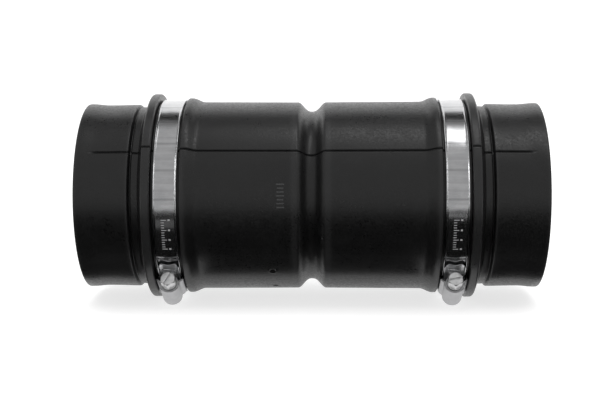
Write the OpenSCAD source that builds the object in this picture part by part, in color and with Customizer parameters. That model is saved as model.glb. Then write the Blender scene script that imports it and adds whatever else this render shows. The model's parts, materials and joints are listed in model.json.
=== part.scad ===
// Flexible pipe coupling: a rubber sleeve with two worm-drive clamps.
// The bore runs along X, the middle of the sleeve is at the origin, and Z is up.

/* [Sleeve] */
// Outside diameter of the pipe that the sleeve takes
pipe_d = 88.9; // [60:0.1:120]
// Overall length of the sleeve
sleeve_l = 234.2; // [180:0.2:300]
// Wall of the sleeve between the lips, near the centre groove
body_wall = 4.5; // [3:0.1:8]
// Wall of the end cuffs at their step
cuff_wall = 3.45; // [2.4:0.05:6]
// Height of the outer flanges above the bore
flange_h = 9.05; // [7.6:0.05:10]
// Height of the inner lips above the bore
lip_h = 6.85; // [6.2:0.05:7.6]
// Distance from the middle of the sleeve to the middle of each clamp
clamp_x = 71.6; // [60:0.1:90]

/* [Clamps] */
// Width of the clamp strip
strip_w = 11.8; // [9:0.1:12]
// Thickness of the clamp strip
strip_t = 0.8; // [0.5:0.05:0.8]
// Clearance between the strip and the floor of its channel
strip_gap = 0.3; // [0.2:0.05:0.5]
// Angle of the screw housing below the horizontal, towards the front
housing_angle = 55; // [0:1:90]
// Length of the screw housing
housing_l = 16.5; // [14:0.5:20]
// Pitch of the worm thread
pitch = 3; // [2.5:0.1:3.5]
// Distance across the flats of the screw head
head_af = 7; // [5:0.1:8]
// Angle of the screwdriver slot on the left clamp
left_slot = 62; // [0:1:180]
// Angle of the screwdriver slot on the right clamp
right_slot = 12; // [0:1:180]

/* [Hidden] */
$fn = 96;
bore_r = pipe_d / 2;
half_l = sleeve_l / 2;

// sleeve
stop_r = bore_r - 3.45;
stop_half = 3.4;
body_r = bore_r + body_wall;
body_rise = 0.25;
groove_r = bore_r - 0.35;
groove_half = 7.3;
groove_flat = 1.25;
lip_r = bore_r + lip_h;
lip_start = clamp_x - 15.6;
channel_half = 7.15;
channel_r = bore_r + 4.4;
face_draft = 0.15;
lip_crown = 0.9;
flange_r = bore_r + flange_h;
flange_w = 4.6;
edge_r = 1.3;
low_r = bore_r + 2.25;
low_start = clamp_x + 13.6;
step_x = clamp_x + 17.6;
step_l = 1.6;
crease_d = 0.85;
cuff_r = bore_r + cuff_wall;
waist_x = clamp_x + 32;
waist_drop = 0.22;
mouth_rise = 0.4;
mouth_edge = 0.6;
lead_in = 1.2;

// clamp strip, by radius from the sleeve's axis
strip_in = channel_r + strip_gap;
strip_out = strip_in + strip_t;
rim_w = 0.45;
rim_h = 0.5;
half_w = strip_w / 2;

// threaded end of the strip, which lies over the strip inside its rims
tail_t = 0.6;
tail_in = strip_out + 0.1;
tail_out = tail_in + tail_t;
tail_half = half_w - rim_w - 0.15;
tail_rim_w = 0.4;
tail_rim_h = 0.45;
tail_start = -32;
tail_free = 9.5;
tail_end = 19.6;
tooth_w = 0.9;
tooth_half = 3;
tooth_h = 0.6;
pitch_r = tail_out + 0.35;
tooth_step = pitch / pitch_r * 180 / PI;
tooth_skew = 7.5;
tip_notch_r = 5;
tip_notch = 1.2;

// screw
screw_z = tail_out + 3.95;
worm_r = 3.25;
worm_throw = 0.5;
worm_start = -6.6;
worm_turns = 4.5;
neck_r = 2.85;
neck_l = 2.0;
pin_r = 2.0;
pin_l = 1.9;
collar_r = 3.9;
collar_start = housing_l / 2 + 0.5;
collar_l = 1.2;
head_l = 4.6;
head_start = collar_start + collar_l;
slot_w = 1.15;
slot_d = 1.7;
bearing_gap = 0.05;

// screw housing
wall = 0.75;
tunnel_r = 4.3;
shell_r = tunnel_r + wall;
foot_out = 6.8;
foot_in = half_w;
shoulder_z = tail_out + 1.65;
plate_t = 1.0;
housing_front = housing_l / 2 + 0.25;
housing_back = housing_l / 2 - 0.25;
foot_slope = 57;

// ---- curves

// Points on a round edge: centre, radius, first and last angle, number of steps.
function round_edge(cx, cr, r, a0, a1, n = 5) =
    [for (i = [0:n]) let (a = a0 + (a1 - a0) * i / n) [cx + r * cos(a), cr + r * sin(a)]];

// A smooth S from one point to another, level at both ends.
function s_curve(x0, r0, x1, r1, n = 8) =
    [for (i = [0:n]) let (u = i / n) [x0 + (x1 - x0) * u, r0 + (r1 - r0) * (1 - cos(180 * u)) / 2]];

// One side of the centre groove, with a bottom flatter than its shoulder.
function groove_curve(n = 12) =
    [for (i = [0:n]) let (u = i / n)
        [groove_half * u, groove_r + (body_r - groove_r) * (1 - cos(180 * pow(u, groove_flat))) / 2]];

// Outside of one half of the sleeve, from the middle to the mouth, as [distance, radius].
function outside() = concat(
    groove_curve(),
    [[clamp_x / 2, body_r + body_rise / 2]],
    s_curve(lip_start, body_r + body_rise, clamp_x - channel_half - lip_crown - 0.6, lip_r, 8),
    round_edge(clamp_x - channel_half - 0.5, lip_r - 0.5, 0.5, 90, 0, 3),
    [[clamp_x - channel_half + face_draft, channel_r]],
    [[clamp_x + channel_half - face_draft, channel_r]],
    round_edge(clamp_x + channel_half + 1, flange_r - 1, 1, 180, 90, 4),
    round_edge(clamp_x + channel_half + flange_w - edge_r, flange_r - edge_r, edge_r, 90, 10, 5),
    round_edge(low_start + 0.9, low_r + 0.9, 0.9, 190, 270, 4),
    [[step_x - 0.6, low_r]],
    [[step_x, low_r - crease_d]],
    [[step_x + 0.35, low_r - crease_d]],
    [[step_x + step_l - 0.4, cuff_r - 0.15]],
    [[step_x + step_l, cuff_r]],
    s_curve(step_x + step_l + 1, cuff_r, waist_x, cuff_r - waist_drop, 4),
    s_curve(waist_x + 3, cuff_r - waist_drop, half_l - mouth_edge - 0.8, cuff_r + mouth_rise, 5),
    round_edge(half_l - mouth_edge, cuff_r + mouth_rise - mouth_edge, mouth_edge, 90, 0, 4));

// Half of the sleeve's wall: the outside, then back along the bore to the pipe stop.
function wall_section() = concat(
    outside(),
    [[half_l, bore_r + lead_in]],
    [[half_l - 1.6 * lead_in, bore_r]],
    [[stop_half, bore_r]],
    [[stop_half - 0.5, stop_r]],
    [[0, stop_r]]);

module sleeve_half() {
    rotate([0, 90, 0])
        rotate_extrude()
            polygon([for (p = wall_section()) [p[1], p[0]]]);
}

module rubber_sleeve() {
    color("#202123")
        union() {
            sleeve_half();
            mirror([1, 0, 0]) sleeve_half();
        }
}

// ---- clamp, drawn with its housing on top and its screw along +Y

// Sweeps a [radius, width] outline round the sleeve's axis, from one angle to another.
module round_the_sleeve(from, to) {
    rotate([0, -90, 0])
        rotate([0, 0, from])
            rotate_extrude(angle = to - from)
                children();
}

module strip_section() {
    polygon([[strip_in, -half_w], [strip_out + rim_h, -half_w],
        [strip_out + rim_h, -half_w + rim_w * 0.6], [strip_out, -half_w + rim_w],
        [strip_out, half_w - rim_w], [strip_out + rim_h, half_w - rim_w * 0.6],
        [strip_out + rim_h, half_w], [strip_in, half_w]]);
}

module clamp_strip() {
    rotate([0, -90, 0])
        rotate_extrude()
            strip_section();
}

module tail_section() {
    polygon([[tail_in, -tail_half], [tail_out + tail_rim_h, -tail_half],
        [tail_out + tail_rim_h, -tail_half + tail_rim_w * 0.6], [tail_out, -tail_half + tail_rim_w + 0.2],
        [tail_out, tail_half - tail_rim_w - 0.2], [tail_out + tail_rim_h, tail_half - tail_rim_w * 0.6],
        [tail_out + tail_rim_h, tail_half], [tail_in, tail_half]]);
}

// A place along the threaded end, in the end's own frame: it follows the sleeve as far as
// the housing's front, which is at angle 0 here, and runs on straight from there.
module at_arc(angle) {
    rotate([-min(angle - tail_free, 0), 0, 0])
        translate([0, tail_length(angle), 0])
            children();
}

function tail_length(angle) = max(0, angle - tail_free) * PI / 180 * pitch_r;

// Raised teeth, half a pitch away from the places where the worm's crest points down.
module tooth(k) {
    at_arc((worm_start / pitch + 0.5 + k) * tooth_step)
        translate([0, 0, tail_in + tail_t / 2])
            rotate([0, 0, -tooth_skew])
                translate([-tooth_half, -tooth_w / 2, 0])
                    cube([2 * tooth_half, tooth_w, tail_t / 2 + tooth_h]);
}

module tail_body() {
    rotate([0, -90, 0])
        rotate_extrude(angle = tail_start - tail_free)
            tail_section();
    rotate([-90, -90, 0])
        linear_extrude(height = tail_length(tail_end))
            tail_section();
}

module clamp_threaded_end() {
    rotate([-tail_free, 0, 0])
        difference() {
            union() {
                tail_body();
                for (k = [-6:6]) tooth(k);
            }
            at_arc(tail_end)
                translate([0, tip_notch_r - tip_notch, tail_in - 1])
                    cylinder(r = tip_notch_r, h = 4);
            for (s = [-1, 1])
                at_arc(tail_end)
                    translate([s * tail_half, 0, tail_in - 1])
                        rotate([0, 0, s * 32])
                            translate([-4, -1.1, 0])
                                cube([8, 4, 4]);
        }
}

module shell_outline() {
    translate([0, screw_z]) circle(r = shell_r);
    polygon([[-foot_out, strip_in], [-foot_out, shoulder_z], [-shell_r, screw_z],
        [shell_r, screw_z], [foot_out, shoulder_z], [foot_out, strip_in]]);
}

module tunnel_outline() {
    translate([0, screw_z]) circle(r = tunnel_r);
    polygon([[-foot_in, strip_in - 2], [-foot_in, shoulder_z - 0.3], [-tunnel_r, screw_z],
        [tunnel_r, screw_z], [foot_in, shoulder_z - 0.3], [foot_in, strip_in - 2]]);
}

// Extrudes an [x, z] outline along Y.
module along_screw(from, to) {
    translate([0, to, 0])
        rotate([90, 0, 0])
            linear_extrude(height = to - from)
                children();
}

module along_y(r, from, to) {
    translate([0, from, screw_z])
        rotate([-90, 0, 0])
            cylinder(r = r, h = to - from);
}

module end_plate(from, hole_r) {
    difference() {
        along_screw(from, from + plate_t)
            intersection() {
                translate([0, screw_z]) circle(r = tunnel_r + wall / 2);
                translate([-shell_r, shoulder_z - 0.3])
                    square([2 * shell_r, 2 * shell_r + 4]);
            }
        along_y(hole_r, from - 1, from + plate_t + 1);
    }
}

module clamp_housing() {
    difference() {
        along_screw(-housing_back, housing_front) shell_outline();
        along_screw(-housing_back - 1, housing_front + 1) tunnel_outline();
        rotate([0, 90, 0])
            translate([0, 0, -foot_out - 1])
                cylinder(r = strip_in + 0.15, h = 2 * foot_out + 2);
        translate([-foot_out - 1, housing_front, shoulder_z])
            rotate([-foot_slope, 0, 0])
                translate([0, 0, -10])
                    cube([2 * foot_out + 2, 10, 10]);
    }
    end_plate(-housing_back, pin_r + bearing_gap);
    end_plate(housing_front - plate_t, neck_r + bearing_gap);
}

module clamp_screw(slot_angle) {
    translate([0, worm_start, screw_z])
        rotate([-90, 0, 0])
            rotate([0, 0, 90])
                linear_extrude(height = worm_turns * pitch, twist = -360 * worm_turns,
                    slices = 12 * worm_turns, segments = 16)
                    translate([worm_throw, 0])
                        circle(r = worm_r, $fn = 16);
    along_y(pin_r, worm_start - pin_l, worm_start + 1);
    along_y(neck_r, worm_start + worm_turns * pitch - 0.5, collar_start + 0.2);
    along_y(collar_r, collar_start, collar_start + collar_l);
    difference() {
        intersection() {
            translate([0, head_start - 0.2, screw_z])
                rotate([-90, 0, 0])
                    cylinder(r = head_af / sqrt(3), h = head_l + 0.2, $fn = 6);
            translate([0, head_start - 0.2, screw_z])
                rotate([-90, 0, 0])
                    cylinder(r1 = head_af / 2 + 3.5, r2 = head_af / 2 - 0.05, h = head_l + 0.2);
        }
        translate([0, head_start + head_l - slot_d, screw_z])
            rotate([0, slot_angle, 0])
                translate([-head_af, 0, -slot_w / 2])
                    cube([2 * head_af, slot_d + 1, slot_w]);
    }
}

// Puts a clamp's piece in place: -1 on the left, 1 on the right.
module on_sleeve(side) {
    translate([side * clamp_x, 0, 0])
        rotate([90 + housing_angle, 0, 0])
            children();
}

module left_clamp_strip() { color("#c9cdd1") on_sleeve(-1) clamp_strip(); }
module left_clamp_threaded_end() { color("#b9bec4") on_sleeve(-1) clamp_threaded_end(); }
module left_clamp_housing() { color("#aab0b6") on_sleeve(-1) clamp_housing(); }
module left_clamp_screw() { color("#dadde0") on_sleeve(-1) clamp_screw(left_slot); }
module right_clamp_strip() { color("#c9cdd1") on_sleeve(1) clamp_strip(); }
module right_clamp_threaded_end() { color("#b9bec4") on_sleeve(1) clamp_threaded_end(); }
module right_clamp_housing() { color("#aab0b6") on_sleeve(1) clamp_housing(); }
module right_clamp_screw() { color("#dadde0") on_sleeve(1) clamp_screw(right_slot); }

rubber_sleeve();
left_clamp_strip();
left_clamp_threaded_end();
left_clamp_housing();
left_clamp_screw();
right_clamp_strip();
right_clamp_threaded_end();
right_clamp_housing();
right_clamp_screw();
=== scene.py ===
import json
import math
import bpy
import bmesh
from mathutils import Matrix, Vector

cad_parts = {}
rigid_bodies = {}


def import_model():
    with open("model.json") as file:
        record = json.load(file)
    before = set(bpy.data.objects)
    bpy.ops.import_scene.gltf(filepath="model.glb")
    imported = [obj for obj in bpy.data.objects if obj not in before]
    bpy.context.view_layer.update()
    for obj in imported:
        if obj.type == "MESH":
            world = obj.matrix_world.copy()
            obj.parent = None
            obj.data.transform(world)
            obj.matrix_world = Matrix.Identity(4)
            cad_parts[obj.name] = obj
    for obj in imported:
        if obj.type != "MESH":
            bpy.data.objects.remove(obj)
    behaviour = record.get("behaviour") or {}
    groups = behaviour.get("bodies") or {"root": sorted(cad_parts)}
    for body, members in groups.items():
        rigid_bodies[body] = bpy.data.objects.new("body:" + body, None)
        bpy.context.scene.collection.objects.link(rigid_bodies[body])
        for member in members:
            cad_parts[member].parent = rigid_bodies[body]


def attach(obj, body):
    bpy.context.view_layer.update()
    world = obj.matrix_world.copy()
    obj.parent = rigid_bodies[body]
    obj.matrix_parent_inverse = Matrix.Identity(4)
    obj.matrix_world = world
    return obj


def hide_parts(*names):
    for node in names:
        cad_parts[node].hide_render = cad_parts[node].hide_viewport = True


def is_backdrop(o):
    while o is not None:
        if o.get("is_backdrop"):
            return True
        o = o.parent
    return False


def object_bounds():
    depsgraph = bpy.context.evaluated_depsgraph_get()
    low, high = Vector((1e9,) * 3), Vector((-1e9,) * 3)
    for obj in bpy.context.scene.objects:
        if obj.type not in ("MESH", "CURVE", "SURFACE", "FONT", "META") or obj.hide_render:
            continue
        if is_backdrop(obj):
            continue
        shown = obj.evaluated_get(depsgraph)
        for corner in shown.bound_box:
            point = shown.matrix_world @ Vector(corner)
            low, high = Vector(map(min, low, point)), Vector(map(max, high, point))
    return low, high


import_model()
cad_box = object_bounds()
MM = 0.001

# ---------------------------------------------------------------- sizes, in mm, as in the frame
BORE = 44.45
HALF = 117.1
CLAMP_X = 71.6
HOUSING_ANGLE = 55.0
TURN = math.radians(90 + HOUSING_ANGLE)
SCREW_Z = 54.6
PITCH_R = 51.0
PITCH = 3.0
SEAM = -33.4  # degrees from the front, of one of the two parting lines
GROOVE_HALF = 7.3
GROOVE_FLAT = 1.25
STRIP_HALF = 5.9
FLOW_R, FLOW_BASE = 50, 49
WORM_START = -6.6
WALL = 0.75
HEAD_AF, HEAD_FACE = 7.0, 14.5


# ---------------------------------------------------------------- materials
def new_material(name):
    m = bpy.data.materials.new(name)
    m.use_nodes = True
    nt = m.node_tree
    nt.nodes.clear()
    out = nt.nodes.new("ShaderNodeOutputMaterial")
    bsdf = nt.nodes.new("ShaderNodeBsdfPrincipled")
    nt.links.new(bsdf.outputs[0], out.inputs[0])
    return m, nt, bsdf


def node(nt, kind, **values):
    n = nt.nodes.new(kind)
    for key, value in values.items():
        if key in n.inputs:
            n.inputs[key].default_value = value
        else:
            setattr(n, key, value)
    return n


def noise(nt, vec, scale, detail=3.0, rough=0.55):
    n = node(nt, "ShaderNodeTexNoise")
    n.inputs["Scale"].default_value = scale
    n.inputs["Detail"].default_value = detail
    n.inputs["Roughness"].default_value = rough
    nt.links.new(vec, n.inputs["Vector"])
    return n.outputs["Fac"]


def ramp(nt, fac, stops):
    r = node(nt, "ShaderNodeValToRGB")
    els = r.color_ramp.elements
    while len(els) < len(stops):
        els.new(0.5)
    for el, (pos, col) in zip(els, stops):
        el.position = pos
        el.color = (*col, 1) if len(col) == 3 else col
    nt.links.new(fac, r.inputs[0])
    return r.outputs[0]


def remap(nt, fac, a, b, lo, hi):
    n = node(nt, "ShaderNodeMapRange")
    n.inputs["From Min"].default_value = a
    n.inputs["From Max"].default_value = b
    n.inputs["To Min"].default_value = lo
    n.inputs["To Max"].default_value = hi
    nt.links.new(fac, n.inputs["Value"])
    return n.outputs["Result"]


def mix(nt, fac, a, b, mode="MIX"):
    n = node(nt, "ShaderNodeMix", data_type="RGBA", blend_type=mode)
    for socket, value in ((n.inputs[0], fac), (n.inputs[6], a), (n.inputs[7], b)):
        if isinstance(value, (int, float)):
            socket.default_value = value
        elif isinstance(value, tuple):
            socket.default_value = (*value, 1)
        else:
            nt.links.new(value, socket)
    return n.outputs[2]


def maths(nt, op, a, b):
    n = node(nt, "ShaderNodeMath", operation=op)
    for socket, value in ((n.inputs[0], a), (n.inputs[1], b)):
        if isinstance(value, (int, float)):
            socket.default_value = value
        else:
            nt.links.new(value, socket)
    return n.outputs[0]


def bump(nt, height, distance, strength=1.0, under=None):
    n = node(nt, "ShaderNodeBump")
    n.inputs["Strength"].default_value = strength
    n.inputs["Distance"].default_value = distance
    nt.links.new(height, n.inputs["Height"])
    if under is not None:
        nt.links.new(under, n.inputs["Normal"])
    return n.outputs["Normal"]


def attribute(nt, name, out="Fac"):
    n = node(nt, "ShaderNodeAttribute")
    n.attribute_name = name
    return n.outputs[out]


def rubber_material():
    m, nt, b = new_material("moulded_rubber")
    pos = node(nt, "ShaderNodeTexCoord").outputs["Object"]
    fine = noise(nt, pos, 2600, 4, 0.6)
    grain = noise(nt, pos, 900, 3, 0.55)
    cloud = noise(nt, pos, 38, 4, 0.6)
    bloom = noise(nt, pos, 150, 5, 0.7)
    scuff_and_sheen = attribute(nt, "scuff_and_sheen")
    base = ramp(nt, cloud, [(0.3, (0.0018, 0.0018, 0.0019)), (0.7, (0.0032, 0.0032, 0.0033))])
    dusty = mix(nt, remap(nt, bloom, 0.52, 0.78, 0, 0.35), base, (0.008, 0.008, 0.0083))
    # pale rubber colour: real wear on the crowns, and a painted highlight over the whole of each mould dash
    scuff_and_sheen_colour = mix(nt, maths(nt, "MULTIPLY", scuff_and_sheen, 0.2), dusty, (0.040, 0.040, 0.041))
    nt.links.new(scuff_and_sheen_colour, b.inputs["Base Color"])
    patches = remap(nt, cloud, 0.3, 0.7, 0.33, 0.39)
    rough = maths(nt, "ADD", patches, remap(nt, grain, 0.35, 0.65, -0.08, 0.09))
    nt.links.new(rough, b.inputs["Roughness"])
    b.inputs["Specular IOR Level"].default_value = 0.56
    n1 = bump(nt, grain, 0.00013, 0.4)
    nt.links.new(bump(nt, fine, 0.00005, 0.5, n1), b.inputs["Normal"])
    return m


def strip_material(name, low, high, matt):
    m, nt, b = new_material(name)
    flow = attribute(nt, "flow", "Vector")
    stretch = node(nt, "ShaderNodeMapping")
    stretch.inputs["Scale"].default_value = (9.0, 0.12, 1.0)
    nt.links.new(flow, stretch.inputs["Vector"])
    lines = noise(nt, stretch.outputs[0], 1.0, 5, 0.65)
    smear = noise(nt, flow, 0.16, 4, 0.6)
    specks = noise(nt, flow, 2.2, 4, 0.65)
    across = node(nt, "ShaderNodeMapping")
    across.inputs["Scale"].default_value = (0.03, 0.42, 0.0)
    nt.links.new(flow, across.inputs["Vector"])
    bands = noise(nt, across.outputs[0], 1.0, 4, 0.6)
    # faint dark lines painted across the strip where it was bent round the mandrel, one every 14.4 mm:
    # painted shade in place of the dark reflection of the kinks
    parts = node(nt, "ShaderNodeSeparateXYZ")
    nt.links.new(flow, parts.inputs[0])
    turn = maths(nt, "FRACT", maths(nt, "DIVIDE", maths(nt, "ADD", parts.outputs["Y"], 720 - 1.5), 14.4), 0)
    line = remap(nt, maths(nt, "ABSOLUTE", maths(nt, "SUBTRACT", turn, 0.5), 0), 0.02, 0.055, 0.55, 0.0)
    steel = ramp(nt, smear, [(0.3, (low, low * 1.01, low * 1.03)), (0.75, (high, high, high * 1.01))])
    streaked = mix(nt, remap(nt, bands, 0.36, 0.60, 0.30, 0.0), steel, (0.30, 0.30, 0.305))
    lined = mix(nt, maths(nt, "MULTIPLY", line, lines), streaked, (0.10, 0.10, 0.105))
    nt.links.new(lined, b.inputs["Base Color"])
    b.inputs["Metallic"].default_value = 1.0
    r1 = remap(nt, lines, 0.3, 0.7, 0.13 + matt, 0.21 + matt)
    r2 = remap(nt, specks, 0.5, 0.75, 0.0, 0.10)
    nt.links.new(maths(nt, "ADD", r1, r2), b.inputs["Roughness"])
    n1 = bump(nt, lines, 0.00001, 0.35)
    nt.links.new(bump(nt, smear, 0.0004, 0.10, n1), b.inputs["Normal"])
    return m


def pressed_material():
    m, nt, b = new_material("pressed_steel")
    pos = node(nt, "ShaderNodeTexCoord").outputs["Object"]
    grain = noise(nt, pos, 2200, 4, 0.6)
    cloud = noise(nt, pos, 260, 4, 0.6)
    drag = node(nt, "ShaderNodeMapping")
    drag.inputs["Scale"].default_value = (1.0, 0.16, 0.16)
    nt.links.new(pos, drag.inputs["Vector"])
    scores = noise(nt, drag.outputs[0], 3600, 3, 0.6)
    steel = ramp(nt, cloud, [(0.3, (0.43, 0.43, 0.44)), (0.7, (0.53, 0.53, 0.535))])
    nt.links.new(steel, b.inputs["Base Color"])
    b.inputs["Metallic"].default_value = 1.0
    patches = remap(nt, cloud, 0.3, 0.7, 0.34, 0.44)
    rough = maths(nt, "ADD", patches, remap(nt, scores, 0.35, 0.65, -0.03, 0.05))
    nt.links.new(rough, b.inputs["Roughness"])
    n1 = bump(nt, scores, 0.00003, 0.3)
    nt.links.new(bump(nt, grain, 0.00003, 0.4, n1), b.inputs["Normal"])
    return m


def screw_material():
    m, nt, b = new_material("headed_steel")
    pos = node(nt, "ShaderNodeTexCoord").outputs["Object"]
    grain = noise(nt, pos, 1500, 5, 0.7)
    pits = noise(nt, pos, 520, 4, 0.65)
    steel = ramp(nt, pits, [(0.3, (0.66, 0.66, 0.665)), (0.7, (0.86, 0.86, 0.86))])
    nt.links.new(steel, b.inputs["Base Color"])
    b.inputs["Metallic"].default_value = 1.0
    nt.links.new(remap(nt, pits, 0.3, 0.7, 0.40, 0.28), b.inputs["Roughness"])
    n1 = bump(nt, pits, 0.00012, 0.35)
    nt.links.new(bump(nt, grain, 0.00005, 0.5, n1), b.inputs["Normal"])
    return m


def etch_material():
    m, nt, b = new_material("etched_mark")
    pos = node(nt, "ShaderNodeTexCoord").outputs["Object"]
    grain = noise(nt, pos, 3000, 3, 0.6)
    dull = ramp(nt, grain, [(0.3, (0.34, 0.34, 0.35)), (0.7, (0.50, 0.50, 0.50))])
    nt.links.new(dull, b.inputs["Base Color"])
    b.inputs["Metallic"].default_value = 0.4
    nt.links.new(remap(nt, grain, 0.3, 0.7, 0.6, 0.8), b.inputs["Roughness"])
    return m


RUBBER = rubber_material()
STRIP = strip_material("polished_strip", 0.52, 0.62, 0.0)
# the threaded end's copy of the strip steel: rougher, and painted paler (0.80 to 0.88 against 0.52 to 0.62)
# as a painted highlight
STAMPED_PAINTED_PALE = strip_material("stamped_strip_painted_pale", 0.80, 0.88, 0.17)
PRESSED = pressed_material()
SCREW = screw_material()
ETCH = etch_material()


# ---------------------------------------------------------------- mesh helpers
def make(name, verts, faces, material, body, smooth=True):
    """A mesh object from points in mm in the object's frame."""
    me = bpy.data.meshes.new(name)
    me.from_pydata([(x * MM, y * MM, z * MM) for x, y, z in verts], [], faces)
    bm = bmesh.new()
    bm.from_mesh(me)
    bmesh.ops.remove_doubles(bm, verts=bm.verts, dist=1e-7)
    bmesh.ops.recalc_face_normals(bm, faces=bm.faces)
    bm.to_mesh(me)
    bm.free()
    if smooth:
        me.polygons.foreach_set("use_smooth", [True] * len(me.polygons))
    me.materials.append(material)
    ob = bpy.data.objects.new(name, me)
    bpy.context.scene.collection.objects.link(ob)
    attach(ob, body)
    return ob


def sharpen(ob, degrees=35):
    """Smooth faces with sharp edges above an angle."""
    bm = bmesh.new()
    bm.from_mesh(ob.data)
    for e in bm.edges:
        if len(e.link_faces) == 2 and e.calc_face_angle() > math.radians(degrees):
            e.smooth = False
    bm.to_mesh(ob.data)
    bm.free()


def placed(side, x, y, z):
    """From the clamp's own frame, housing on top and screw along +Y, to the object's frame."""
    c, s = math.cos(TURN), math.sin(TURN)
    return (side * CLAMP_X + x, y * c - z * s, y * s + z * c)


def on_ring(side, x, deg, r):
    t = math.radians(deg)
    return placed(side, x, r * math.sin(t), r * math.cos(t))


def smooth(u):
    u = min(1.0, max(0.0, u))
    return u * u * (3 - 2 * u)


def closed_loops(m, n):
    """Faces between m loops of n points, where the last loop joins the first."""
    faces = []
    for i in range(m):
        j = (i + 1) % m
        for k in range(n):
            l = (k + 1) % n
            faces.append((i * n + k, i * n + l, j * n + l, j * n + k))
    return faces


def open_tube(count, m):
    """Faces between rings of m points in a row."""
    faces = []
    for j in range(count - 1):
        for i in range(m):
            k = (i + 1) % m
            faces.append((j * m + i, j * m + k, (j + 1) * m + k, (j + 1) * m + i))
    return faces


def capped_tube(count, m):
    faces = open_tube(count, m)
    faces.append(tuple(range(m)))
    faces.append(tuple(range((count - 1) * m, count * m))[::-1])
    return faces


# a pale rubber mask: real wear on the crowns, a painted highlight on the mould dashes
def set_scuff_and_sheen(ob, fn):
    att = ob.data.attributes.new("scuff_and_sheen", "FLOAT", "POINT")
    att.data.foreach_set("value", [fn(v.co) for v in ob.data.vertices])


def set_flow(ob, side):
    """Across, along and out from the strip, in mm, so that the rolling lines follow the strip round."""
    att = ob.data.attributes.new("flow", "FLOAT_VECTOR", "POINT")
    vals = []
    for v in ob.data.vertices:
        x, y, z = v.co / MM
        yl = y * math.cos(TURN) + z * math.sin(TURN)
        zl = -y * math.sin(TURN) + z * math.cos(TURN)
        vals += [x - side * CLAMP_X, math.atan2(yl, zl) * FLOW_R, math.hypot(yl, zl) - FLOW_BASE]
    att.data.foreach_set("vector", vals)


# ---------------------------------------------------------------- rubber sleeve
def arc(cx, cr, r, a0, a1, n):
    turns = [math.radians(a0 + (a1 - a0) * i / n) for i in range(n + 1)]
    return [(cx + r * math.cos(a), cr + r * math.sin(a)) for a in turns]


def s_curve(x0, r0, x1, r1, n):
    return [(x0 + (x1 - x0) * i / n, r0 + (r1 - r0) * (1 - math.cos(math.pi * i / n)) / 2)
            for i in range(n + 1)]


def straight(x0, r0, x1, r1, n):
    return [(x0 + (x1 - x0) * i / n, r0 + (r1 - r0) * i / n) for i in range(1, n)]


def body_at(x):
    """Radius of the body between the groove and the lips, which rises a little outwards."""
    return BORE + 4.5 + 0.25 * (abs(x) - GROOVE_HALF) / 48.7


def half_outside():
    """Outline of the outer side, from the middle of the groove to the mouth, as (x, r)."""
    groove, body, lip, flange = BORE - 0.35, BORE + 4.5, BORE + 6.85, BORE + 9.05
    low, cuff, channel = BORE + 2.25, BORE + 3.45, BORE + 4.4
    p = []
    for i in range(27):
        rise = (1 - math.cos(math.pi * (i / 26) ** GROOVE_FLAT)) / 2
        p.append((GROOVE_HALF * i / 26, groove + (body - groove) * rise))
    for x0, x1, n in ((GROOVE_HALF, 17.0, 6), (17.0, 23.4, 20), (23.4, CLAMP_X - 15.6, 20)):
        p += straight(x0, body_at(x0), x1, body_at(x1), n)
    p += s_curve(CLAMP_X - 15.6, body + 0.25, CLAMP_X - 8.65, lip, 18)
    p += arc(CLAMP_X - 7.65, lip - 0.5, 0.5, 90, 0, 6)
    p += straight(CLAMP_X - 7.15, lip - 0.5, CLAMP_X - 7.0, channel + 0.3, 4)
    p += arc(CLAMP_X - 6.7, channel + 0.3, 0.3, 180, 270, 4)
    p += straight(CLAMP_X - 6.7, channel, CLAMP_X + 6.7, channel, 8)
    p += arc(CLAMP_X + 6.7, channel + 0.3, 0.3, 270, 360, 4)
    p += straight(CLAMP_X + 7.0, channel + 0.3, CLAMP_X + 7.15, flange - 1, 7)
    p += arc(CLAMP_X + 8.15, flange - 1, 1, 180, 90, 8)
    p += arc(CLAMP_X + 10.45, flange - 1.3, 1.3, 90, 10, 10)
    p += straight(CLAMP_X + 11.73, flange - 1.07, CLAMP_X + 13.61, low + 0.74, 8)
    p += arc(CLAMP_X + 14.5, low + 0.9, 0.9, 190, 270, 7)
    p += straight(CLAMP_X + 14.5, low, CLAMP_X + 16.8, low, 4)
    p += [(CLAMP_X + 17.0, low - 0.03), (CLAMP_X + 17.2, low - 0.14), (CLAMP_X + 17.4, low - 0.45)]
    p += [(CLAMP_X + 17.6, low - 0.82), (CLAMP_X + 17.85, low - 0.9), (CLAMP_X + 18.1, low - 0.6)]
    p += straight(CLAMP_X + 18.1, low - 0.6, CLAMP_X + 18.8, cuff - 0.15, 5)
    p += arc(CLAMP_X + 19.3, cuff - 0.5, 0.5, 135, 90, 4)
    p += s_curve(CLAMP_X + 20.2, cuff, CLAMP_X + 32, cuff - 0.22, 12)
    p += s_curve(CLAMP_X + 35, cuff - 0.22, HALF - 1.4, cuff + 0.4, 14)
    p += arc(HALF - 0.6, cuff - 0.2, 0.6, 90, 0, 6)
    return p


def half_inside():
    """Outline of the bore, from the mouth to the pipe stop in the middle."""
    p = [(HALF, BORE + 1.6)]
    p += arc(HALF - 0.4, BORE + 1.2, 0.4, 0, -50, 3)
    p += straight(HALF - 0.15, BORE + 0.88, HALF - 1.92, BORE, 4)
    p += [(HALF - 1.92, BORE), (HALF - 2.4, BORE)]
    p += straight(HALF - 2.4, BORE, 4.0, BORE, 46)
    p += [(3.6, BORE), (3.4, BORE - 0.2), (3.1, BORE - 2.9), (2.7, BORE - 3.4)]
    p += [(2.0, BORE - 3.45), (0.8, BORE - 3.45)]
    return p


# gate marks of the mould, as (distance along the sleeve, angle below the horizontal)
GATES = ((-19.5, 44.2), (-18.7, 65.6))


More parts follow.
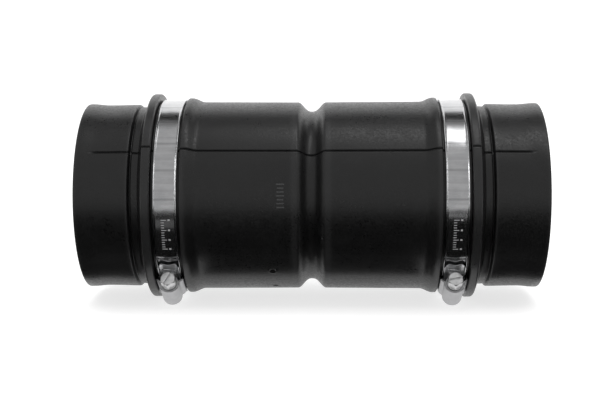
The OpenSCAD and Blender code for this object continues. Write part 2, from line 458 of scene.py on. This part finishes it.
def sleeve():
    out = half_outside()
    ins = half_inside()
    right = out[1:] + ins
    loop = right + [(-x, r) for x, r in reversed(right)]
    loop.append(out[0])
    keep = [loop[0]]
    for q in loop[1:]:
        if math.dist(q, keep[-1]) > 0.02:
            keep.append(q)
    loop = keep
    angles = []
    near = [-1.8, -1.5, -1.25, -1.05, -0.88, -0.73, -0.6, -0.48, -0.36, -0.24, -0.12]
    near += [0] + [-d for d in reversed(near)]
    seams = (SEAM, SEAM + 180)
    a = 0.0
    while a < 359.9:
        # finer where the gate marks are
        step = 0.5 if 40.5 <= a < 69 else 1.5
        if all(abs((a - s + 180) % 360 - 180) > 1.9 for s in seams):
            angles.append(a)
        a += step
    for s in seams:
        angles += [(s + d) % 360 for d in near]
    angles.sort()
    verts = []
    half_len = HALF - 9
    for deg in angles:
        t = math.radians(deg)
        d = min(abs((deg - s + 180) % 360 - 180) for s in seams)
        for x, r in loop:
            rr = r
            outer = r > BORE + 1.65 or (abs(x) < 8 and r > BORE - 0.4)
            if outer:
                fade = smooth((half_len + 3 - abs(x)) / 5)
                width = 0.5 * 50 / r
                groove = -0.85 * math.exp(-(d / width) ** 2) + 0.03 * math.exp(-((d - 1.2) / 0.22) ** 2)
                rr += groove * fade
                for xd, dd in GATES:
                    away = math.hypot(x - xd, math.radians(deg - dd) * r)
                    if away < 3:
                        ring = 0.09 * math.exp(-((away - 1.95) / 0.4) ** 2)
                        rr += ring - 0.75 * smooth((1.5 - away) / 0.75)
                rr += 0.018 * math.sin(3 * t + x * 0.045) + 0.012 * math.sin(7 * t - x * 0.11 + 1.3)
                rr += 0.008 * math.sin(11 * t + x * 0.31)
            else:
                rr += 0.01 * math.sin(5 * t + x * 0.07)
            verts.append((x, -rr * math.cos(t), -rr * math.sin(t)))
    faces = closed_loops(len(angles), len(loop))
    ob = make("sleeve_moulding", verts, faces, RUBBER, "sleeve")

    # the high edges that are worn pale, as (x, r, width)
    crowns = ((8.2, 48.95, 1.6), (CLAMP_X - 8.2, 51.3, 1.1), (CLAMP_X + 8.0, 53.3, 0.9),
              (CLAMP_X + 10.9, 53.4, 1.2), (CLAMP_X + 19.2, 47.9, 0.7), (HALF - 0.3, 48.2, 0.9))

    def worn(co):
        x, r = abs(co.x) / MM, math.hypot(co.y, co.z) / MM
        w = 0.0
        for cx, cr, size in crowns:
            w = max(w, math.exp(-((x - cx) ** 2 + (r - cr) ** 2) / (size * size)))
        return w

    set_scuff_and_sheen(ob, worn)
    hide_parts("rubber_sleeve")


def mould_marks():
    """A column of low raised dashes on the front of the body, in place of moulded characters."""
    verts, faces = [], []
    nu, nv = 8, 14
    for k in range(7):
        length, width = 0.85, (4.2, 3.3, 3.8)[k % 3]
        for iu in range(nu + 1):
            for iv in range(nv + 1):
                u, v = iu / nu * 2 - 1, iv / nv * 2 - 1
                x = -15.0 + v * width / 2
                h = 0.17 * math.sqrt(max(0, 1 - u ** 4)) * math.sqrt(max(0, 1 - v ** 8))
                r = body_at(x) + h - (0.08 if iu in (0, nu) or iv in (0, nv) else 0.0)
                t = math.radians(-13.0 + 2.2 * k) + u * length / 2 / r
                verts.append((x, -r * math.cos(t), -r * math.sin(t)))
        off = k * (nu + 1) * (nv + 1)
        for iu in range(nu):
            for iv in range(nv):
                a = off + iu * (nv + 1) + iv
                faces.append((a, a + 1, a + nv + 2, a + nv + 1))
    ob = make("mould_dashes", verts, faces, RUBBER, "sleeve")
    # each dash is painted pale all over, a painted highlight for the light its raised faces catch
    set_scuff_and_sheen(ob, lambda co: 4.0)


# ---------------------------------------------------------------- clamp strip
STRIP_IN, STRIP_OUT = 49.15, 49.95
STEP_AT = 24.2  # degrees from the housing, where the strip steps down under its threaded end


def strip_wave(side, t):
    """Slight waviness of the strip round the sleeve."""
    return 0.02 * math.sin(5 * t + side) + 0.012 * math.sin(13 * t + 2 * side)


def strip_crown(x):
    """Slight crown across the strip."""
    return 0.05 * (1 - (x / STRIP_HALF) ** 2)


def strip(side, word):
    half = STRIP_HALF
    section = []
    section += [(-half + 0.25, 0.0), (0.0, 0.0), (half - 0.25, 0.0)]
    section += [(half - 0.07, 0.07), (half, 0.25), (half, 0.6)]
    section += arc(half - 0.36, 0.94, 0.36, 0, 118, 8)
    section += [(half - 0.67, 1.14), (half - 0.84, 0.99), (half - 1.02, 0.88)]
    section += [(half - 1.25, 0.815), (half - 1.6, 0.8)]
    section += [(half - 2.4, 0.8), (1.5, 0.8), (0, 0.8)]
    section += [(-x, h) for x, h in reversed(section[3:-1])]
    angles = []
    a = -180.0
    while a < 180:
        angles.append(a)
        a += 0.25 if STEP_AT - 3 <= a < STEP_AT + 3 else 1.0
    verts = []
    for deg in angles:
        wave = strip_wave(side, math.radians(deg))
        for x, h in section:
            centre = STEP_AT - 1.1 * (1 - (x / half) ** 2)
            down = smooth((centre - deg) / 0.7 + 0.5) if -175 < deg else 0
            if deg < -40:
                down = 0
            elif deg < -34:
                down *= smooth((deg + 40) / 6)
            crown = strip_crown(x) * (1 - down)
            if h > 0.3:
                lift = wave + (crown if h > 0.7 else 0) + 0.02 - 0.42 * down
            else:
                lift = wave + 0.02 - 0.10 * down
            verts.append(on_ring(side, x, deg, STRIP_IN + h + lift))
    faces = closed_loops(len(angles), len(section))
    ob = make(word + "_strip_loop", verts, faces, STRIP, word + "_clamp")
    sharpen(ob, 50)
    set_flow(ob, side)
    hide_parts(word + "_clamp_strip")


def strip_marks(side, word):
    """A row of plain etched ticks along the strip, like a tape's scale."""
    verts, faces = [], []

    def patch(x0, x1, d0, d1):
        off = len(verts)
        for d in (d0, (d0 + d1) / 2, d1):
            for x in (x0, (x0 + x1) / 2, x1):
                wave = strip_wave(side, math.radians(d))
                verts.append(on_ring(side, x, d, STRIP_OUT + strip_crown(x) + wave + 0.036))
        for i in range(2):
            for j in range(2):
                q = off + i * 3 + j
                faces.append((q, q + 1, q + 4, q + 3))

    for k in range(13):
        d = 29.5 + 1.5 * k
        long = 2.6 if k % 4 == 0 else 1.5
        patch(-1.9, -1.9 + long, d, d + 0.42)
    for k in (0, 4, 8, 12):
        patch(1.5, 2.5, 29.3 + 1.5 * k, 29.3 + 1.5 * k + 0.95)
    ob = make(word + "_strip_ticks", verts, faces, ETCH, word + "_clamp", smooth=False)
    solid = ob.modifiers.new("etch", "SOLIDIFY")
    solid.thickness = 0.00003
    solid.offset = -1


# ---------------------------------------------------------------- threaded end of the strip
TOOTH_STEP = PITCH / PITCH_R * 180 / math.pi
TEETH = [(WORM_START / PITCH + 0.5 + k) * TOOTH_STEP for k in range(-6, 7)]
TAIL_IN, TAIL_OUT, TAIL_HALF = 50.05, 50.65, 5.3
TAIL_START, TAIL_FREE, TAIL_END = -32, 9.5, 19.6  # degrees; straight beyond TAIL_FREE


def threaded_end(side, word):
    cols = [-1, -0.985, -0.95, -0.93, -0.9, -0.86, -0.8]
    cols += [-0.8 + 1.6 * i / 30 for i in range(1, 30)]
    cols += [-c for c in reversed(cols[:7])]
    rows = 250
    lean = math.tan(math.radians(-8.0))

    def tip(x):
        u = abs(x) / TAIL_HALF
        end = TAIL_END - 1.1 * (1 - smooth(u / 0.62))
        return end - 2.2 * smooth((u - 0.68) / 0.32)

    def relief(x, s):
        h = 0.0
        for c in TEETH:
            d = s - c * math.pi / 180 * PITCH_R - x * lean
            if abs(d) < 0.75:
                side_fade = smooth((3.35 - abs(x)) / 0.8)
                h = max(h, 0.56 * smooth((0.72 - abs(d)) / 0.5) * side_fade)
        return h

    def rim(x):
        e = TAIL_HALF - abs(x)
        if e < 0.10:
            return 0.36
        if e < 0.35:
            return 0.45
        return 0.45 * (1 - smooth((e - 0.35) / 0.5))

    top, bottom, faces = [], [], []
    for j in range(rows + 1):
        u = j / rows
        for c in cols:
            x = c * TAIL_HALF
            deg = TAIL_START + (tip(x) - TAIL_START) * u
            s = math.radians(deg) * PITCH_R
            edge = 0.10 * (1 - smooth(min(u, 1 - u) * rows / 2.0))
            lift = TAIL_OUT * (1 / math.cos(math.radians(max(0.0, deg - TAIL_FREE))) - 1)
            h = TAIL_OUT + rim(x) + relief(x, s) - edge + lift
            top.append(on_ring(side, x, deg, h))
            # the lower edges ride over the strip's rolled rims
            low = TAIL_IN + 0.03 + lift + 0.42 * smooth((abs(c) - 0.86) / 0.1)
            bottom.append(on_ring(side, x, deg, low + 0.55 * relief(x, s) * 0.6))
    n = len(cols)
    count = len(top)
    for j in range(rows):
        for i in range(n - 1):
            a = j * n + i
            faces.append((a, a + 1, a + n + 1, a + n))
            faces.append((a + count, a + n + count, a + n + 1 + count, a + 1 + count))
        for i, order in ((0, 1), (n - 1, -1)):
            a = j * n + i
            faces.append((a, a + n, a + n + count, a + count)[::order])
    for j, order in ((0, 1), (rows, -1)):
        for i in range(n - 1):
            a = j * n + i
            faces.append((a, a + count, a + 1 + count, a + 1)[::order])
    body = word + "_threaded_end"
    ob = make(word + "_threaded_tail", top + bottom, faces, STAMPED_PAINTED_PALE, body)
    sharpen(ob, 50)
    set_flow(ob, side)
    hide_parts(word + "_clamp_threaded_end")


# ---------------------------------------------------------------- screw housing
def housing(side, word):
    n_top = 36
    foot = 49.45
    stations = [(-8.0, 0.52, 0), (-7.96, 0.78, 0), (-7.86, 0.93, 0), (-7.7, 1, 0)]
    stations += [(-7.0 + 14.2 * i / 22, 1, 0) for i in range(23)]
    # the front edge is thinned and drawn in
    for y, full in ((7.5, 1), (7.75, 0.98), (7.95, 0.92), (8.12, 0.83),
                    (8.27, 0.7), (8.38, 0.56), (8.46, 0.4), (8.5, 0.25)):
        stations.append((y, full, 0.06 - 0.375 * (1 - full)))

    def section(y, full, flare):
        base = math.sqrt(max(0, foot * foot - y * y))
        mid_r = 5.05 - WALL / 2 + flare
        mid_x = 6.8 - WALL / 2 + flare * 0.5
        path = [(mid_x, base), (mid_x, base + 0.6), (mid_x, base + 1.2), (mid_x, 51.7)]
        path += [(mid_x - 0.06, 52.15), (mid_x - 0.3, 52.6), (mid_x - 0.72, 52.98)]
        path += [(mid_x - 1.15, 53.3), (mid_r + 0.14, 53.75)]
        for i in range(n_top + 1):
            a = math.radians(-3 + 186 * i / n_top)
            path.append((mid_r * math.cos(a), SCREW_Z + mid_r * math.sin(a)))
        path += [(-x, z) for x, z in reversed(path[:9])]
        half = WALL / 2 * full
        outer, inner = [], []
        for i, (x, z) in enumerate(path):
            x0, z0 = path[max(0, i - 1)]
            x1, z1 = path[min(len(path) - 1, i + 1)]
            dx, dz = x1 - x0, z1 - z0
            l = math.hypot(dx, dz)
            nx, nz = dz / l, -dx / l
            outer.append((x + nx * half, z + nz * half))
            inner.append((x - nx * half, z - nz * half))
        return outer + inner[::-1]

    verts = []
    for y, full, flare in stations:
        loop = section(y, full, flare)
        back = smooth(y / 8.5)
        verts += [placed(side, x, y - back * 1.5 * max(0.0, 52.3 - z), z) for x, z in loop]
    n = len(loop)
    faces = open_tube(len(stations), n)
    h = n // 2
    for j in (0, len(stations) - 1):
        for i in range(h - 1):
            a, b = j * n + i, j * n + i + 1
            c, d = j * n + n - 2 - i, j * n + n - 1 - i
            faces.append((a, b, c, d))
    ob = make(word + "_housing_shell", verts, faces, PRESSED, word + "_clamp")
    sharpen(ob, 40)
    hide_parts(word + "_clamp_housing")
    for tag, y0, y1, hole in (("front", 7.5, 8.38, 2.9), ("back", -7.95, -7.2, 2.05)):
        ring_piece(side, word, f"{word}_housing_{tag}_plate", y0, y1, hole)


def ring_piece(side, word, name, y0, y1, hole):
    """An end plate with a rolled bearing hole."""
    prof = [(hole, y0 + 0.12), (hole + 0.12, y0), (4.45, y0), (4.5, y0 + 0.1), (4.5, y1 - 0.1)]
    prof += [(4.45, y1), (hole + 0.3, y1), (hole + 0.08, y1 - 0.06), (hole, y1 - 0.2)]
    verts = []
    m = 64
    for i in range(m):
        a = 2 * math.pi * i / m
        for r, y in prof:
            z = SCREW_Z + r * math.sin(a)
            x = r * math.cos(a)
            verts.append(placed(side, x, y, max(z, 51.75)))
    ob = make(name, verts, closed_loops(m, len(prof)), PRESSED, word + "_clamp")
    sharpen(ob, 40)


# ---------------------------------------------------------------- worm screw
def turned(side, profile, m=72):
    """Rings of (radius, y) about the screw's axis. Returns points and faces, with the ends closed."""
    verts = []
    for r, y in profile:
        for i in range(m):
            a = 2 * math.pi * i / m
            verts.append(placed(side, r * math.cos(a), y, SCREW_Z + r * math.sin(a)))
    return verts, capped_tube(len(profile), m)


def hex_radius(a, af):
    """Radius of a hexagon with worn corners, at an angle."""
    b = (a + math.pi / 6) % (math.pi / 3) - math.pi / 6
    flat = af / 2 / math.cos(b)
    return min(flat, af / 2 * 1.125)


def screw(side, word, slot_angle):
    body, slot = word + "_screw", "screw_steel"
    # head: hexagon with a turned chamfer on its face
    af = HEAD_AF
    m = 120
    rows = [(9.75, 0), (9.85, 0), (11.0, 0), (12.5, 0), (13.6, 0), (14.0, 0)]
    rows += [(14.25, 0.02), (14.4, 0.10), (14.47, 0.22), (HEAD_FACE, 0.4)]
    verts = []
    for y, cut in rows:
        for i in range(m):
            a = 2 * math.pi * i / m
            cone = af / 2 + (HEAD_FACE - y) * 0.72 - 0.02
            r = min(hex_radius(a, af), cone) - cut * 0.8
            verts.append(placed(side, r * math.cos(a), y, SCREW_Z + r * math.sin(a)))
    head = make(word + "_screw_head", verts, capped_tube(len(rows), m), SCREW, body)
    # screwdriver slot
    w, d = 1.15 / 2, 1.7
    ca, sa = math.cos(math.radians(slot_angle)), math.sin(math.radians(slot_angle))
    corners = []
    for y in (HEAD_FACE - d, 16.0):
        for u, v in ((-6, -w), (6, -w), (6, w), (-6, w)):
            # turned about the screw's axis, as the slot is cut in the frame
            corners.append(placed(side, u * ca + v * sa, y, SCREW_Z - u * sa + v * ca))
    cme = bpy.data.meshes.new("cutter")
    sides = [(0, 1, 2, 3), (7, 6, 5, 4), (0, 4, 5, 1), (1, 5, 6, 2), (2, 6, 7, 3), (3, 7, 4, 0)]
    cme.from_pydata([(x * MM, y * MM, z * MM) for x, y, z in corners], [], sides)
    bmc = bmesh.new()
    bmc.from_mesh(cme)
    bmesh.ops.recalc_face_normals(bmc, faces=bmc.faces)
    bmc.to_mesh(cme)
    bmc.free()
    cutter = bpy.data.objects.new("cutter", cme)
    bpy.context.scene.collection.objects.link(cutter)
    cut_and_bevel(head, cutter, 0.00010)
    # collar, neck and end pin, as (radius, y), and the worm between them
    collar = [(2.6, 8.7), (3.6, 8.72), (3.82, 8.8), (3.9, 8.92), (3.9, 9.45)]
    collar += [(3.84, 9.66), (3.7, 9.82), (3.5, 9.9), (2.6, 9.92)]
    neck = [(2.4, 6.7), (2.85, 6.75), (2.85, 8.75), (2.4, 8.8)]
    pin = [(1.3, -8.5), (1.7, -8.48), (1.95, -8.3), (2.0, -8.1), (2.0, -6.4), (1.5, -6.3)]
    for part, profile in (("collar", collar), ("neck", neck), ("pin", pin)):
        v, f = turned(side, profile)
        sharpen(make(f"{word}_screw_{part}", v, f, SCREW, body), 40)
    worm(side, word, body)
    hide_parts(word + "_clamp_screw")


def worm(side, word, body):
    m, per = 48, 16
    turns = 4.5
    rows = int(turns * per)
    verts = []
    for j in range(rows + 1):
        y = WORM_START + turns * PITCH * j / rows
        fade = smooth(min(j, rows - j) / 5)
        for i in range(m):
            a = 2 * math.pi * i / m
            # the crest points down, towards the strip, at the start and every pitch after it
            phase = 2 * math.pi * (y - WORM_START) / PITCH + math.pi / 2 - a
            c = math.cos(phase)
            ridge = smooth(0.5 + 0.62 * c)
            r = 2.78 + 0.94 * ridge * (0.25 + 0.75 * fade)
            verts.append(placed(side, r * math.cos(a), y, SCREW_Z - r * math.sin(a)))
    ob = make(word + "_screw_worm", verts, capped_tube(rows + 1, m), SCREW, body)
    sharpen(ob, 60)


def cut_and_bevel(ob, cutter, width):
    """Cut a slot, then round the edges that are left."""
    mod = ob.modifiers.new("slot", "BOOLEAN")
    mod.operation = "DIFFERENCE"
    mod.solver = "EXACT"
    mod.object = cutter
    deps = bpy.context.evaluated_depsgraph_get()
    me = bpy.data.meshes.new_from_object(ob.evaluated_get(deps))
    ob.modifiers.clear()
    old = ob.data
    ob.data = me
    bpy.data.meshes.remove(old)
    cme = cutter.data
    bpy.data.objects.remove(cutter)
    bpy.data.meshes.remove(cme)
    sharpen(ob, 30)
    bev = ob.modifiers.new("edges", "BEVEL")
    bev.width = width
    bev.segments = 2
    bev.limit_method = "ANGLE"
    bev.angle_limit = math.radians(40)


# ---------------------------------------------------------------- build
sleeve()
mould_marks()
for side, word, slot_angle in ((-1, "left", 62), (1, "right", 12)):
    strip(side, word)
    strip_marks(side, word)
    threaded_end(side, word)
    housing(side, word)
    screw(side, word, slot_angle)


# ---------------------------------------------------------------- floor, light, camera
def floor():
    """A pale floor that sweeps up behind the object."""
    z0 = min(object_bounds()[0].z, cad_box[0].z)
    prof = [(-2.4, z0), (0.9, z0)]
    for i in range(1, 17):
        a = math.pi / 2 * i / 16
        prof.append((0.9 + 0.5 * math.sin(a), z0 + 0.5 * (1 - math.cos(a))))
    prof.append((1.4, z0 + 2.2))
    me = bpy.data.meshes.new("floor")
    verts = [(x, y, z) for x in (-3.0, 3.0) for y, z in prof]
    n = len(prof)
    me.from_pydata(verts, [], [(i, i + 1, n + i + 1, n + i) for i in range(n - 1)])
    me.polygons.foreach_set("use_smooth", [True] * len(me.polygons))
    m, nt, b = new_material("pale_floor")
    pos = node(nt, "ShaderNodeTexCoord").outputs["Object"]
    pale = ramp(nt, noise(nt, pos, 3.0, 3), [(0.3, (0.40, 0.40, 0.40)), (0.7, (0.42, 0.42, 0.42))])
    nt.links.new(pale, b.inputs["Base Color"])
    b.inputs["Emission Color"].default_value = (1, 1, 1, 1)
    b.inputs["Emission Strength"].default_value = 0.72
    b.inputs["Roughness"].default_value = 0.9
    b.inputs["Specular IOR Level"].default_value = 0.1
    me.materials.append(m)
    ob = bpy.data.objects.new("floor", me)
    bpy.context.scene.collection.objects.link(ob)
    ob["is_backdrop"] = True
    return z0


def card(name, centre, size, normal, shade=0.0):
    """A studio flag or sheet, out of shot, that only shapes the reflections."""
    me = bpy.data.meshes.new(name)
    w, h = size[0] / 2, size[1] / 2
    me.from_pydata([(-w, -h, 0), (w, -h, 0), (w, h, 0), (-w, h, 0)], [], [(0, 1, 2, 3)])
    m, _, b = new_material(name)
    b.inputs["Base Color"].default_value = (shade, shade, shade, 1)
    b.inputs["Roughness"].default_value = 1.0
    b.inputs["Specular IOR Level"].default_value = 0.0
    me.materials.append(m)
    ob = bpy.data.objects.new(name, me)
    ob.location = centre
    ob.rotation_mode = "QUATERNION"
    ob.rotation_quaternion = Vector(normal).to_track_quat("Z", "Y")
    bpy.context.scene.collection.objects.link(ob)
    ob.visible_camera = False
    ob.visible_shadow = False
    ob.visible_diffuse = False
    ob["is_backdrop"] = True


def area(name, centre, target, size, power, glossy=True):
    li = bpy.data.lights.new(name, "AREA")
    li.shape = "RECTANGLE"
    li.size, li.size_y = size
    li.energy = power
    ob = bpy.data.objects.new(name, li)
    ob.location = centre
    ob.rotation_mode = "QUATERNION"
    ob.rotation_quaternion = (Vector(target) - Vector(centre)).to_track_quat("-Z", "Y")
    bpy.context.scene.collection.objects.link(ob)
    ob.visible_camera = False
    ob.visible_glossy = glossy
    return ob


def around(elevation, distance, x=0.0):
    """A place round the object: 0 in front, 90 overhead, 180 behind."""
    e = math.radians(elevation)
    return (x, -distance * math.cos(e), distance * math.sin(e))


z_floor = floor()
world = bpy.data.worlds.new("studio")
world.use_nodes = True
world.node_tree.nodes["Background"].inputs[0].default_value = (1, 1, 1, 1)
world.node_tree.nodes["Background"].inputs[1].default_value = 0.54
bpy.context.scene.world = world

area("room_light", (0, 0.1, 1.7), (0, 0, 0), (2.6, 2.2), 30, glossy=False)
area("soft_box", around(79.6, 1.0, 0.19), (0, 0, 0), (0.24, 0.60), 0.95)
steel = bpy.data.collections.new("lit_from_the_sides")
for ob in bpy.data.objects:
    if "_strip_loop" in ob.name or "_tail" in ob.name:
        steel.objects.link(ob)
for x, power in ((-1.1, 9.0), (1.1, 5.0)):
    side_light = area("side_light", (x, -0.05, 0.2), (0, 0, 0), (0.7, 0.70), power)
    side_light.light_linking.receiver_collection = steel
area("back_wash", (0, 0.2, 1.9), (0, 1.4, 0.3), (2.6, 0.8), 11, glossy=False)
card("front_flag", (0, -0.173, z_floor + 0.002), (0.7, 0.254), (0, 0, 1))
# nearer flags leave gaps in front of the clamps
fillers = (("left", -0.219, 0.262, -0.020), ("middle", 0, 0.112, -0.0285), ("right", 0.219, 0.262, -0.020))
for tag, x, w, near in fillers:
    card(tag + "_flag", (x, (near - 0.046) / 2, z_floor + 0.002), (w, near + 0.046), (0, 0, 1))
for x, y, depth, shade in ((-0.088, -0.136, 0.048, 0.09), (0.088, -0.196, 0.020, 0.42)):
    card("step_sheet", (x, y, z_floor + 0.003), (0.03, depth), (0, 0, 1), shade=shade)
card("front_sheet", (0, -1.35, z_floor + 0.002), (4.0, 2.1), (0, 0, 1), shade=0.47)
for x in (-0.16, 0.16):
    card("veil", around(99, 0.85, x), (0.14, 0.165), around(99, -1.0), shade=0.2)
card("top_flag", around(113, 0.85), (1.8, 0.25), around(113, -1.0))

cam = bpy.data.cameras.new("camera")
cam.sensor_width = 36
cam.lens = 68.55
cam_ob = bpy.data.objects.new("camera", cam)
bpy.context.scene.collection.objects.link(cam_ob)
cam_ob.matrix_world = (Matrix.Translation((0.00960, -0.60101, 0.07379)) @ Matrix((
    (0.999644, 0.000578, 0.026677, 0),
    (0.026391, 0.126234, -0.991649, 0),
    (-0.003940, 0.992000, 0.126173, 0),
    (0, 0, 0, 1))))
bpy.context.scene.camera = cam_ob
bpy.context.scene.view_settings.view_transform = "Standard"
